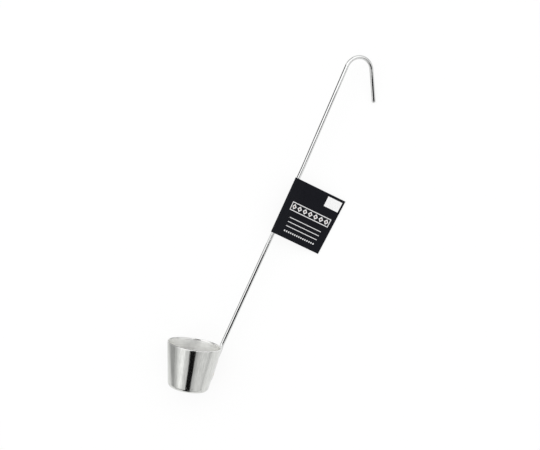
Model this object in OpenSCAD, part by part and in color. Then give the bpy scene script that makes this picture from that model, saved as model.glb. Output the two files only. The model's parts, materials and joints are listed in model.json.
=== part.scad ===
// Syrup ladle: a small cone sided steel cup on a long wire handle with an open hook,
// and a black card tag folded round the wire. It lies on a table, on the side of the cup
// and on the tip of the hook. Sizes in millimetres.

/* [Cup] */
// outer diameter of the mouth
mouth_d = 40; // [34:0.5:46]
// outer diameter the side would have at the base with no rounding
base_d = 29.2; // [26:0.2:32]
// height of the cup along its own axis
cup_h = 33.5; // [28:0.5:40]
// thickness of the drawn sheet
wall = 0.8; // [0.6:0.05:1.1]
// outer radius of the rounding between side and base
corner_r = 3.4; // [2:0.1:5]

/* [Handle] */
// diameter of the wire
wire_d = 3; // [2.4:0.1:3.8]
// outward bend of the wire where it leaves the rim
kick = 8; // [4:0.1:11]
// centre line radius of that bend
kick_r = 22; // [12:1:30]
// wire from the bend at the rim to the start of the hook
rod_len = 223; // [190:1:260]
// slight bend of the long wire above the tag, away from the hook's opening
bow = 1.4; // [0.4:0.1:3]
// centre line radius of that bend
bow_r = 300; // [150:10:400]
// distance from the upper end of the tag to the start of that bend
bow_up = 6; // [3:0.5:12]

/* [Foot] */
// length of round wire below the rim
foot_neck = 3; // [2:0.1:4]
// length over which the wire is pressed from round to flat
press_len = 6; // [4:0.1:7]
// length of the flat foot
foot_len = 18; // [14:0.1:19]
// width of the flat foot
foot_w = 4.6; // [3.8:0.1:5.4]
// thickness of the flat foot
foot_t = 1.5; // [1.2:0.05:1.8]
// gap between foot and cup, bridged by the welds
weld_gap = 0.1; // [0.06:0.01:0.2]
// diameter of a weld
weld_d = 2.6; // [2:0.1:3]
// depth of a weld in each of the two pieces
weld_depth = 0.25; // [0.15:0.01:0.3]
// distance between the two welds
weld_pitch = 9; // [6:0.1:9.5]
// distance of the welds' middle above the middle of the flat foot
weld_shift = 1; // [0:0.1:2]
// radius of the shallow mark over each weld
dimple_r = 5; // [3:0.5:8]
// depth of that mark
dimple_depth = 0.2; // [0.1:0.02:0.3]

/* [Hook] */
// centre line radius of the hook
hook_r = 10.6; // [8:0.1:13]
// turn of the hook
hook_turn = 149; // [135:1:160]
// straight end of the hook with its rounded tip
hook_leg = 25.2; // [18:0.1:32]

/* [Tag] */
// place of the tag's lower end along the wire
tag_at = 90.6; // [60:0.2:120]
// size of the card along the wire
tag_len = 43.5; // [36:0.5:50]
// size of the folded card from the wire to its free edge
tag_w = 39.6; // [34:0.2:46]
// slant of the free edge against the fold
tag_skew = 3.4; // [0:0.1:5]
// slant of the card's two ends against a square cut
tag_slant = 1.4; // [0:0.1:3]
// thickness of the card
card_t = 0.35; // [0.25:0.01:0.5]
// thickness of the adhesive film between the halves
film_t = 0.1; // [0.08:0.01:0.16]
// room between wire and card in the fold
fold_room = 0.08; // [0.05:0.01:0.1]
// distance from the wire's centre to the line where the halves meet
fold_join = 6.5; // [5:0.1:9]
// border of the card that the film leaves free
film_inset = 1.5; // [0.8:0.1:3]
// height of the tag's lowest corner over the table
tag_rest = 0.1; // [0.05:0.01:0.3]

/* [Hidden] */
$fn = 64;
STEEL = [0.78, 0.79, 0.80];
WELD = [0.62, 0.63, 0.65];
CARD = [0.055, 0.057, 0.065];
FILM = [0.85, 0.83, 0.76];
// distance that a cutting shape runs past what it cuts
over = 2;
// thickness of the two slices that the pressed zone is drawn between
sliver = 0.02;

mouth_r = mouth_d / 2;
base_r = base_d / 2;
wire_r = wire_d / 2;
// half angle of the cone and lean of the wire against the cup's axis
flare = atan((mouth_r - base_r) / cup_h);
lean = flare + kick;
// centre circle of the base rounding
corner_at = base_r + corner_r * tan(flare) - corner_r / cos(flare);
// rounded lip: its place along the cone's side, and the middle of its rounding
lip_r = wall / 2;
lip_s = (cup_h - lip_r * (1 + sin(flare))) / cos(flare);
lip_x = base_r + lip_s * sin(flare) - lip_r * cos(flare);
lip_z = lip_s * cos(flare) + lip_r * sin(flare);

// wire axis against the side of the cup
wire_off = wire_r + weld_gap;
knee_x = mouth_r + wire_off / cos(flare);
knee_up = wire_off * tan(flare);
kick_tan = kick_r * tan(kick / 2);
// swell of the wire where a bend begins or ends
blend = 0.02;
neck_h = foot_neck + knee_up - kick_tan;
foot_top = foot_neck + press_len;
foot_end = foot_top + foot_len;
weld_mid = foot_top + foot_len / 2 - weld_shift;
weld_up = weld_mid - weld_pitch / 2;
weld_low = weld_mid + weld_pitch / 2;

// slight bend between the lower and the upper stretch of the long wire
bow_tan = bow_r * tan(bow / 2);
bow_start = tag_at + tag_len + bow_up;
bow_at = bow_start + bow_tan;
lower_h = bow_start - kick_tan;
upper_len = rod_len - bow_at;
upper_h = upper_len - bow_tan;
// a place in the frame of the upper stretch, carried into the frame of the lower one
function bowed_out(out, up) = out * cos(bow) - up * sin(bow);
function bowed_up(out, up) = bow_at + out * sin(bow) + up * cos(bow);
// a place in the frame of the lower stretch, carried into the frame of the cup
function cup_x(out, up) = knee_x + out * cos(lean) + up * sin(lean);
function cup_z(out, up) = cup_h - out * sin(lean) + up * cos(lean);

// end of the hook and middle of its round, in the frames of both stretches and of the cup
leg_h = hook_leg - wire_r;
end_out = hook_r * (1 - cos(hook_turn)) + leg_h * sin(hook_turn);
end_up = upper_len + hook_r * sin(hook_turn) + leg_h * cos(hook_turn);
tip_out = bowed_out(end_out, end_up);
tip_up = bowed_up(end_out, end_up);
tip_x = cup_x(tip_out, tip_up);
tip_z = cup_z(tip_out, tip_up);
round_out = bowed_out(hook_r, upper_len);
round_up = bowed_up(hook_r, upper_len);
round_x = cup_x(round_out, round_up);
round_z = cup_z(round_out, round_up);

// the cup rolls on its side until the tip of the hook meets the table
roll = acos((base_r * cos(flare) + tip_z * sin(flare) - wire_r) / (tip_x * cos(flare)));
axis_h = base_r * cos(flare);

// heights that each direction of the lower stretch's frame gains over the table
along_z = cos(lean) * sin(flare) - sin(lean) * cos(roll) * cos(flare);
out_z = -sin(lean) * sin(flare) - cos(lean) * cos(roll) * cos(flare);
side_z = -sin(roll) * cos(flare);
knee_h = axis_h + cup_h * sin(flare) - knee_x * cos(roll) * cos(flare);

// folded card
bore_r = wire_r + fold_room;
fold_r = bore_r + card_t;
half_t = film_t / 2 + card_t;
join_reach = norm([fold_join, film_t / 2]);
fold_tilt = asin(bore_r / join_reach) - atan2(film_t / 2, fold_join);
// share of the fold's radius at which its flanks start, just inside the round
fold_seat = 0.99;
crease_x = fold_join + card_t * tan(fold_tilt / 2);
skew_run = tan(tag_skew);
slant_run = tan(tag_slant);
// distance from the wire at which the free edge meets an end of the card
function edge_x(up, trim) =
    (tag_w - trim + skew_run * (up - tag_len / 2)) / (1 + skew_run * slant_run);
w_low = edge_x(0, 0);
w_high = edge_x(tag_len, 0);
low_at = tag_at - slant_run * w_low;
high_at = tag_at + tag_len - slant_run * w_high;
tag_far = w_high + over;
tag_over = slant_run * tag_far + over;
// slope at which the lower and the upper corner of the free edge would meet the table
level = norm([out_z, side_z]);
low_h = (knee_h + low_at * along_z - tag_rest) / level;
high_h = (knee_h + high_at * along_z - tag_rest) / level;
low_slope = asin(low_h / norm([w_low, half_t])) - atan2(half_t, w_low);
high_slope = asin(high_h / norm([w_high, half_t])) - atan2(half_t, w_high);
tag_slope = min(low_slope, high_slope);
tag_turn = tag_slope - atan2(-out_z, -side_z);

// bounds on the table, so that the origin is the middle of the footprint
out_y = -cos(lean) * sin(roll);
along_y = -sin(lean) * sin(roll);
tag_y = cos(tag_turn) * out_y + sin(tag_turn) * cos(roll);
low_y = -knee_x * sin(roll) + low_at * along_y + w_low * tag_y;
high_y = -knee_x * sin(roll) + high_at * along_y + w_high * tag_y;
min_y = min(-tip_x * sin(roll) - wire_r, low_y, high_y);
min_x = corner_r * cos(flare) - corner_at * sin(flare) - corner_r;
round_reach = hook_r * sqrt(1 - pow(sin(roll) * sin(flare), 2)) + wire_r;
max_x = round_x * cos(roll) * sin(flare) + round_z * cos(flare) + round_reach;
shift_x = -(min_x + max_x) / 2;
shift_y = -(min_y + mouth_r) / 2;

// cup axis upright to lying on the table
module laid_down() {
    translate([shift_x, shift_y, axis_h])
        rotate([0, 90 - flare, 0])
            rotate([0, 0, -roll])
                children();
}

// frame on the cup's side: z along the side, x out of it, origin at the rim
module on_side() {
    translate([mouth_r, 0, cup_h])
        rotate([0, flare, 0])
            children();
}

// frame of the long wire's lower stretch: z along it, x towards the hook's opening
module on_rod() {
    translate([knee_x, 0, cup_h])
        rotate([0, lean, 0])
            children();
}

// bend of the wire from the z axis towards x, with what follows it on its far end
module wire_bend(radius, turn) {
    translate([radius, 0, 0])
        rotate([90, 0, 180])
            rotate_extrude(angle = turn)
                translate([radius, 0])
                    circle(wire_r);
    sphere(wire_r + blend);
    translate([radius, 0, 0])
        rotate([0, turn, 0])
            translate([-radius, 0, 0]) {
                sphere(wire_r + blend);
                children();
            }
}

// area inside one skin of the cup, set in from the outside by the given depth
module cup_area(inset) {
    round_r = corner_r - inset;
    side_x = lip_x + (lip_r - inset) * cos(flare);
    side_z = lip_z - (lip_r - inset) * sin(flare);
    inner_x = lip_x - lip_r * cos(flare);
    inner_z = lip_z + lip_r * sin(flare);
    polygon([
        [0, inset],
        [corner_at, inset],
        [corner_at + round_r * cos(flare), corner_r - round_r * sin(flare)],
        [side_x, side_z],
        [inner_x, inner_z],
        [0, inner_z]
    ]);
    translate([corner_at, corner_r])
        circle(round_r);
}

module cup_section() {
    difference() {
        cup_area(0);
        cup_area(wall);
    }
    translate([lip_x, lip_z])
        circle(lip_r);
}

// weld at a distance below the rim
module nugget(below) {
    on_side()
        translate([-weld_depth, 0, -below])
            rotate([0, 90, 0])
                cylinder(d = weld_d, h = weld_gap + 2 * weld_depth);
}

module cup() {
    color(STEEL)
        laid_down()
            difference() {
                rotate_extrude()
                    cup_section();
                nugget(weld_up);
                nugget(weld_low);
            }
}

// cross section of the pressed wire, round at its two edges
module pressed_section() {
    edge_y = foot_w / 2 - foot_t / 2;
    translate([weld_gap, -edge_y])
        square([foot_t, 2 * edge_y]);
    translate([weld_gap + foot_t / 2, edge_y])
        circle(foot_t / 2);
    translate([weld_gap + foot_t / 2, -edge_y])
        circle(foot_t / 2);
}

// outline of the flat foot seen from outside, round at its lower end
module foot_outline() {
    translate([-foot_w / 2, 0])
        square([foot_w, foot_len - foot_w / 2]);
    intersection() {
        translate([0, foot_len - foot_w / 2])
            circle(foot_w / 2);
        translate([-foot_w / 2, foot_len - foot_w / 2])
            square([foot_w, foot_w]);
    }
}

module flat_foot() {
    intersection() {
        translate([0, 0, -foot_end])
            linear_extrude(foot_len)
                pressed_section();
        translate([weld_gap - over, 0, -foot_top])
            rotate([-90, 0, -90])
                linear_extrude(foot_t + 2 * over)
                    foot_outline();
    }
}

module press_zone() {
    hull() {
        translate([wire_off, 0, -foot_neck - sliver])
            linear_extrude(sliver)
                circle(wire_r);
        translate([0, 0, -foot_top])
            linear_extrude(sliver)
                pressed_section();
    }
}

// shallow mark over a weld
module dimple(below) {
    on_side()
        translate([weld_gap + foot_t + dimple_r - dimple_depth, 0, -below])
            sphere(dimple_r);
}

// straight end of the hook with a round tip
module hook_end() {
    rotate_extrude() {
        square([wire_r, leg_h]);
        intersection() {
            translate([0, leg_h])
                circle(wire_r);
            translate([0, leg_h])
                square([wire_r, wire_r]);
        }
    }
}

module upper_stretch() {
    cylinder(r = wire_r, h = upper_h);
    translate([0, 0, upper_h])
        wire_bend(hook_r, hook_turn)
            hook_end();
}

module long_wire() {
    cylinder(r = wire_r, h = lower_h);
    translate([0, 0, lower_h])
        rotate([0, 0, 180])
            wire_bend(bow_r, bow)
                rotate([0, 0, 180])
                    upper_stretch();
}

module wire() {
    on_side() {
        flat_foot();
        press_zone();
        translate([wire_off, 0, -foot_neck]) {
            cylinder(r = wire_r, h = neck_h);
            translate([0, 0, neck_h])
                wire_bend(kick_r, kick)
                    long_wire();
        }
    }
}

module handle() {
    color(STEEL)
        laid_down()
            difference() {
                wire();
                nugget(weld_up);
                nugget(weld_low);
                dimple(weld_up);
                dimple(weld_low);
            }
}

module weld_upper() {
    color(WELD)
        laid_down()
            nugget(weld_up);
}

module weld_lower() {
    color(WELD)
        laid_down()
            nugget(weld_low);
}

// frame of the tag: z along the wire, x towards the free edge
module on_tag() {
    on_rod()
        translate([0, 0, tag_at])
            rotate([0, 0, tag_turn])
                children();
}

// block inside one skin of the folded card, running past its free edge and its ends
module fold_block(radius, crease, half) {
    seat_x = radius * fold_seat * sin(fold_tilt);
    seat_y = radius * fold_seat * cos(fold_tilt);
    translate([0, 0, -tag_over]) {
        cylinder(r = radius, h = tag_len + 2 * tag_over);
        linear_extrude(tag_len + 2 * tag_over)
            polygon([
                [seat_x, seat_y],
                [crease, half],
                [tag_far, half],
                [tag_far, -half],
                [crease, -half],
                [seat_x, -seat_y]
            ]);
    }
}

// slab that trims the tag to its free edge and its two ends, each set in by a border
module tag_outline(start, border) {
    deep = fold_r + over;
    trim = border / cos(tag_skew);
    low = border / cos(tag_slant);
    high = tag_len - low;
    low_x = edge_x(low, trim);
    high_x = edge_x(high, trim);
    translate([0, deep, 0])
        rotate([90, 0, 0])
            linear_extrude(2 * deep)
                polygon([
                    [start, low - slant_run * start],
                    [low_x, low - slant_run * low_x],
                    [high_x, high - slant_run * high_x],
                    [start, high - slant_run * start]
                ]);
}

module tag_card() {
    color(CARD)
        laid_down()
            on_tag()
                difference() {
                    intersection() {
                        fold_block(fold_r, crease_x, half_t);
                        tag_outline(-fold_r - over, 0);
                    }
                    fold_block(bore_r, fold_join, film_t / 2);
                }
}

module tag_film() {
    color(FILM)
        laid_down()
            on_tag()
                intersection() {
                    translate([fold_join, -film_t / 2, -tag_over])
                        cube([tag_far, film_t, tag_len + 2 * tag_over]);
                    tag_outline(fold_join + film_inset, film_inset);
                }
}

cup();
handle();
weld_upper();
weld_lower();
tag_card();
tag_film();
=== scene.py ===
"""Looks of a syrup ladle: a cone sided steel cup, a wire handle with a hook, a folded card tag.

All sizes are in metres. The cup, the wire and the card are surfaces worked out with numpy in the
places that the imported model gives. The welds and the adhesive film keep their solids and get a finish.
"""

from __future__ import annotations

import json
import logging
import math
from collections.abc import Callable, Mapping, Sequence
from dataclasses import dataclass
from enum import Enum

import bpy
import numpy as np
from mathutils import Euler, Matrix


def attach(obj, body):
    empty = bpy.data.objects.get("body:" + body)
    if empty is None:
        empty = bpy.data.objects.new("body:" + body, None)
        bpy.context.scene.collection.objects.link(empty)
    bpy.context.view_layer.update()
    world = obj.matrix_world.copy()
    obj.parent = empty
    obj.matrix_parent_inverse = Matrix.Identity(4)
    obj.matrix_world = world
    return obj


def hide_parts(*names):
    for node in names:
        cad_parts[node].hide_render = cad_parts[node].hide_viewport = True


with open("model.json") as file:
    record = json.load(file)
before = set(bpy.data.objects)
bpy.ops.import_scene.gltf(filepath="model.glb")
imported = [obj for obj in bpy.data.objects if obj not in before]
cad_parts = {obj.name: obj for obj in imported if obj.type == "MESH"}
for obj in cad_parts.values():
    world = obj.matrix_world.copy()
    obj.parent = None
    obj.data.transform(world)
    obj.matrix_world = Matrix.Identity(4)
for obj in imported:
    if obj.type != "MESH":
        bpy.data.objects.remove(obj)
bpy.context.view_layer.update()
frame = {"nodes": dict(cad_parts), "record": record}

LOG = logging.getLogger("syrup_ladle")
MM = 0.001
MERGE_DIGITS = 7
LAY = "lay"
IMAGE_WIDTH = 540
SENSOR_WIDTH = 36.0

# Angle between two faces above which their edge stays sharp.
CREASE = math.radians(50)

Array = np.ndarray
Colour = tuple[float, float, float]
Span = tuple[float, float]

ALONG_Y = (0.0, 1.0, 0.0)
UPWARD = (0.0, 0.0, 1.0)
SIDEWAYS = (1.0, 1.0, 0.0)
WHITE: Colour = (1.0, 1.0, 1.0)

# Octaves of detail in a noise.
BROAD = 1.0
SOFT = 2.0
FINE = 3.0
FINEST = 4.0


class Body(Enum):
    """Bodies of the model that pieces ride on."""

    LADLE = "ladle"
    TAG = "tag"


class Slot(Enum):
    """Material slots of the record."""

    CUP = "cup_steel"
    WIRE = "wire_steel"
    WELD = "weld_steel"
    CARD = "black_card"
    FILM = "adhesive"


class Ray(Enum):
    """Kinds of ray that a stage surface can answer in its own way."""

    CAMERA = "Is Camera Ray"
    GLOSSY = "Is Glossy Ray"
    TRANSMISSION = "Is Transmission Ray"


# Shader maths


def _maths(operation: str, reflected: bool = False) -> Callable[[Socket, Value], Socket]:
    """Makes the method of an operation on two sides.

    Args:
        operation: Blender's name of the operation.
        reflected: whether the socket stands on the right.

    Returns:
        The method.
    """

    def method(self: Socket, other: Value) -> Socket:
        """Adds the operation's node."""
        return self._join(operation, other, self) if reflected else self._join(operation, self, other)

    return method


class Socket:
    """One output of a node, on which Python's operators add Math or Vector Math nodes."""

    def __init__(self, tree: Tree, link: bpy.types.NodeSocket | None) -> None:
        """Keeps the tree that the output belongs to and the output itself."""
        self.tree = tree
        self.link = link

    def _join(self, operation: str, first: Value, second: Value = 0.0) -> Socket:
        """Adds one node of maths.

        Args:
            operation: Blender's name of the operation.
            first: left side.
            second: right side, unused by an operation on one value.

        Returns:
            The result.
        """
        sides = (first, second)
        vector = any(isinstance(s, Socket) and s.link.type == "VECTOR" for s in sides)
        kind = "ShaderNodeVectorMath" if vector else "ShaderNodeMath"
        if vector:
            sides = tuple((s, s, s) if isinstance(s, (int, float)) else s for s in sides)
        return self.tree.node(kind, {"operation": operation}, dict(enumerate(sides)))

    __add__ = _maths("ADD")
    __radd__ = _maths("ADD", reflected=True)
    __sub__ = _maths("SUBTRACT")
    __rsub__ = _maths("SUBTRACT", reflected=True)
    __mul__ = _maths("MULTIPLY")
    __rmul__ = _maths("MULTIPLY", reflected=True)
    __truediv__ = _maths("DIVIDE")
    __rtruediv__ = _maths("DIVIDE", reflected=True)
    most = _maths("MAXIMUM")
    least = _maths("MINIMUM")

    def __abs__(self) -> Socket:
        """Size without its sign."""
        return self._join("ABSOLUTE", self)

    def of(self, operation: str) -> Socket:
        """Any operation on this value alone, such as SINE or FRACT."""
        return self._join(operation, self)

    def measure(self, operation: str, other: Value | Colour = (0.0, 0.0, 0.0)) -> Socket:
        """Number from this vector, or from it and another, such as LENGTH or DISTANCE."""
        sides = {0: self, 1: other}
        return self.tree.node("ShaderNodeVectorMath", {"operation": operation}, sides, "Value")

    def dot(self, other: Value | Colour) -> Socket:
        """Length of this vector along another one."""
        return self.measure("DOT_PRODUCT", other)

    def step(self, low: float, high: float) -> Socket:
        """Smooth rise between two values, or fall where the first is the larger.

        Args:
            low: where the result is 0.
            high: where the result is 1.

        Returns:
            Three times the square of the share of the way, less twice its cube.
        """
        rise = self.tree.node(
            "ShaderNodeMapRange",
            {"interpolation_type": "SMOOTHSTEP", "clamp": True},
            {"Value": self, "From Min": min(low, high), "From Max": max(low, high)},
        )
        return 1.0 - rise if low > high else rise

    def inside(self, low: float, high: float, soft: float) -> Socket:
        """One between low and high, nothing outside, with soft edges."""
        return self.step(low - soft, low + soft) * self.step(high + soft, high - soft)

    def between(self, none: Value, full: Value) -> Socket:
        """Number between two others, with this value as the share of the second."""
        return none + self * (full - none)

    def blend(self, none: Value | Colour, full: Value | Colour) -> Socket:
        """Colour between two others, with this value as the share of the second."""
        settings = {"data_type": "RGBA", "clamp_factor": True}
        return self.tree.node("ShaderNodeMix", settings, {"Factor": self, "A": none, "B": full}, "Result")


Value = Socket | float | int


class Tree:
    """The nodes of one material or of the world."""

    def __init__(self, owner: bpy.types.Material | bpy.types.World) -> None:
        """Empties a node tree to start afresh.

        Args:
            owner: the material or world whose tree it is.
        """
        owner.use_nodes = True
        self.nodes = owner.node_tree.nodes
        self.links = owner.node_tree.links
        self.nodes.clear()

    def node(
        self,
        kind: str,
        settings: Mapping[str, object] | None = None,
        inputs: Mapping[str | int, object] | None = None,
        output: str | int = 0,
    ) -> Socket:
        """Adds any node: its settings first, then the values or links of its inputs.

        Args:
            kind: Blender's type of node.
            settings: properties of the node.
            inputs: values or sockets by the input's name or number.
            output: name or number of the output that is returned.

        Returns:
            That output, or an empty socket on a node without outputs.
        """
        made = self.nodes.new(kind)
        for name, value in (settings or {}).items():
            setattr(made, name, value)
        for key, value in (inputs or {}).items():
            self._set_input(self._pick(made.inputs, key), value)
        return Socket(self, self._pick(made.outputs, output) if made.outputs else None)

    def _set_input(self, target: bpy.types.NodeSocket, value: object) -> None:
        """Links a socket to an input, or writes a value into it.

        Args:
            target: the input.
            value: a socket, a number, a vector or a colour.
        """
        if isinstance(value, Socket):
            self.links.new(value.link, target)
        elif target.type == "RGBA":
            target.default_value = (*value[:3], 1.0)
        else:
            target.default_value = value

    @staticmethod
    def _pick(sockets: Sequence[bpy.types.NodeSocket], key: str | int) -> bpy.types.NodeSocket:
        """Finds an input or output of a node.

        Args:
            sockets: the node's inputs or outputs.
            key: number or name.

        Returns:
            The one of that number, or the one in use of that name.
        """
        if isinstance(key, int):
            return sockets[key]
        return next(s for s in sockets if s.name == key and s.enabled)

    def place(self) -> Socket:
        """Place of a point in the model's frame."""
        return self.node("ShaderNodeTexCoord", output="Object")

    def lay(self) -> tuple[Socket, ...]:
        """The two numbers of the piece's own map over its surface."""
        split = {"Vector": self.node("ShaderNodeUVMap", {"uv_map": LAY})}
        return tuple(self.node("ShaderNodeSeparateXYZ", None, split, axis) for axis in "XY")

    def vector(self, x: Value, y: Value, z: Value) -> Socket:
        """Vector of three numbers."""
        return self.node("ShaderNodeCombineXYZ", None, {"X": x, "Y": y, "Z": z})

    def noise(self, vector: Socket, scale: float, detail: float) -> Socket:
        """Cloudy noise about one half."""
        inputs = {"Vector": vector, "Scale": scale, "Detail": detail}
        return self.node("ShaderNodeTexNoise", None, inputs)

    def bump(self, height: Socket, distance: float, normal: Socket | None = None) -> Socket:
        """Normal of a surface that is raised by a height times a distance, over one raised already."""
        below = {} if normal is None else {"Normal": normal}
        return self.node("ShaderNodeBump", None, {"Height": height, "Distance": distance, **below})

    def output(self, shader: Socket, kind: str = "ShaderNodeOutputMaterial") -> None:
        """Ends the tree in a shader."""
        self.node(kind, None, {"Surface": shader})


# Places and meshes


def unit(vector: Array) -> Array:
    """The same direction at length one."""
    return vector / np.linalg.norm(vector)


def place_and_axis(rows: Sequence[Mapping[str, object]], name: str) -> tuple[Array, Array]:
    """Place of one of the record's mounts or joints, and its axis at length one."""
    row = next(row for row in rows if row["name"] == name)
    return np.array(row["pos_m"], float), unit(np.array(row["axis"], float))


@dataclass(frozen=True)
class Axes:
    """A right handed set of axes in the model's frame."""

    origin: Array
    x: Array
    y: Array
    z: Array

    def put(self, points: Array) -> Array:
        """Points along these axes as points in the model's frame: origin plus each share of an axis."""
        return self.origin + points @ np.stack([self.x, self.y, self.z])

    def turned(self) -> Euler:
        """Turn of these axes against the model's."""
        return Matrix(np.stack([self.x, self.y, self.z], axis=1).tolist()).to_euler()


def straight(start: Sequence[float], end: Sequence[float], count: int) -> Array:
    """Points evenly along a line, the end left out: the start plus shares of the way to the end."""
    share = np.arange(count)[:, None] / count
    return np.array(start) + share * (np.array(end) - np.array(start))


def arc(centre: Sequence[float], radius: float, start: float, end: float, count: int) -> Array:
    """Points evenly along an arc, the end left out: the centre plus radius times cosine and sine."""
    angle = start + (end - start) * np.arange(count) / count
    return np.array(centre) + radius * np.stack([np.cos(angle), np.sin(angle)], axis=1)


def run_length(points: Array) -> Array:
    """Length of the way along a row of points up to each of them."""
    steps = np.linalg.norm(np.diff(points, axis=0), axis=1)
    return np.concatenate([[0.0], np.cumsum(steps)])


def grid_faces(rows: int, columns: int) -> Array:
    """Quads between neighbouring rows and columns of a grid of points.

    Args:
        rows: number of rows.
        columns: number of points in a row.

    Returns:
        Four corner numbers for each quad.
    """
    row, column = np.meshgrid(np.arange(rows - 1), np.arange(columns - 1), indexing="ij")
    first = (row * columns + column).ravel()
    return np.stack([first, first + 1, first + columns + 1, first + columns], axis=1)


def add_object(name: str, data: bpy.types.ID) -> bpy.types.Object:
    """Makes an object and links it to the scene.

    Args:
        name: name of the object.
        data: its mesh, camera or light.

    Returns:
        The new object.
    """
    made = bpy.data.objects.new(name, data)
    bpy.context.scene.collection.objects.link(made)
    return made


def skin_object(
    name: str, points: Array, faces: Sequence[Array], lays: Sequence[Array]
) -> bpy.types.Object:
    """Makes a closed mesh whose faces point outwards, with its map.

    The signed volume is the sum over all triangles of a corner times the cross product of the other
    two. Where it is negative, the corners of every face are taken the other way round.

    Args:
        name: name of the piece.
        points: corners of the mesh.
        faces: arrays of corner numbers, each array with faces of one size.
        lays: for each array of faces, two numbers for each corner of each face.

    Returns:
        The new object, linked to the scene.
    """
    fans = np.vstack([f[:, [0, k, k + 1]] for f in faces for k in range(1, f.shape[1] - 1)])
    a, b, c = points[fans[:, 0]], points[fans[:, 1]], points[fans[:, 2]]
    if np.einsum("ij,ij->", a, np.cross(b, c)) < 0:
        faces = [f[:, ::-1] for f in faces]
        lays = [m[:, ::-1] for m in lays]
    mesh = bpy.data.meshes.new(name)
    mesh.from_pydata(points.tolist(), [], [row for f in faces for row in f.tolist()])
    flat = np.concatenate([m.reshape(-1, 2) for m in lays])
    mesh.uv_layers.new(name=LAY).data.foreach_set("uv", flat.astype(np.float32).ravel())
    mesh.polygons.foreach_set("use_smooth", np.ones(len(mesh.polygons), bool))
    mesh.set_sharp_from_angle(angle=CREASE)
    mesh.update()
    return add_object(name, mesh)


def tube_object(name: str, rings: Array, along: Array) -> bpy.types.Object:
    """Makes a closed skin over rings of points, with a fan of triangles on each end.

    Args:
        name: name of the piece.
        rings: number of rings by points of a ring by three.
        along: place of each ring along the piece, the map's second number.

    Returns:
        The new object.
    """
    count, around, _ = rings.shape
    row, column = np.divmod(grid_faces(count, around + 1), around + 1)
    quads = row * around + column % around
    spoke = np.arange(around)
    after = (spoke + 1) % around
    last = (count - 1) * around
    pole = np.full(around, count * around)
    bottom = np.stack([pole, after, spoke], axis=1)
    top = np.stack([pole + 1, last + spoke, last + after], axis=1)
    bottom_u = np.stack([spoke + 0.5, spoke + 1.0, spoke], axis=1) / around
    top_u = np.stack([spoke + 0.5, spoke, spoke + 1.0], axis=1) / around
    lays = [
        np.stack([column / around, along[row]], axis=-1),
        np.stack([bottom_u, np.full_like(bottom_u, along[0])], axis=-1),
        np.stack([top_u, np.full_like(top_u, along[-1])], axis=-1),
    ]
    points = np.vstack([rings.reshape(-1, 3), rings[[0, -1]].mean(axis=1)])
    return skin_object(name, points, [quads, bottom, top], lays)


def sheet_object(name: str, outer: Array, inner: Array, lay: Array) -> bpy.types.Object:
    """Makes a thick sheet from the grids of its two sides, joined round their four borders.

    Args:
        name: name of the piece.
        outer: rows by columns by three, one side of the sheet.
        inner: the other side, point by point behind the first.
        lay: rows by columns by two, the map of both sides.

    Returns:
        The new object.
    """
    rows, columns, _ = outer.shape
    size = rows * columns
    number = np.arange(size).reshape(rows, columns)
    front = grid_faces(rows, columns)
    border = np.concatenate([number[0, :-1], number[:-1, -1], number[-1, :0:-1], number[:0:-1, 0]])
    after = np.roll(border, -1)
    edge = np.stack([after, border, border + size, after + size], axis=1)
    faces = [front, front[:, ::-1] + size, edge]
    points = np.vstack([outer.reshape(-1, 3), inner.reshape(-1, 3)])
    places = np.tile(lay.reshape(-1, 2), (2, 1))
    return skin_object(name, points, faces, [places[f] for f in faces])


def dress(piece: bpy.types.Object, material: bpy.types.Material) -> None:
    """Gives a piece its one material."""
    piece.data.materials.clear()
    piece.data.materials.append(material)


def enter(piece: bpy.types.Object, body: Body, node: str) -> None:
    """Puts a new piece on its body in place of a node.

    Args:
        piece: the new piece.
        body: what it moves with.
        node: the node it stands for.
    """
    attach(piece, body.value)
    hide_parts(node)
    LOG.info("%s: %d faces in place of %s", piece.name, len(piece.data.polygons), node)


def keep(piece: bpy.types.Object, material: bpy.types.Material) -> None:
    """Leaves a solid of the model in its place and gives it a finish.

    Args:
        piece: the solid's object.
        material: its finish.
    """
    dress(piece, material)
    LOG.info("%s: solid kept, finish %s", piece.name, material.name)


# Finishes


class Finish:
    """A finish of one Principled shader, whose inputs each kind of finish works out."""

    title = "finish"

    def inputs(self, tree: Tree) -> dict[str, object]:
        """Values and sockets of the shader by the names of its inputs."""
        raise NotImplementedError

    def material(self) -> bpy.types.Material:
        """Makes the material.

        Returns:
            The material, named by the finish's title.
        """
        made = bpy.data.materials.new(self.title)
        tree = Tree(made)
        tree.output(tree.node("ShaderNodeBsdfPrincipled", None, self.inputs(tree)))
        return made


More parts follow.
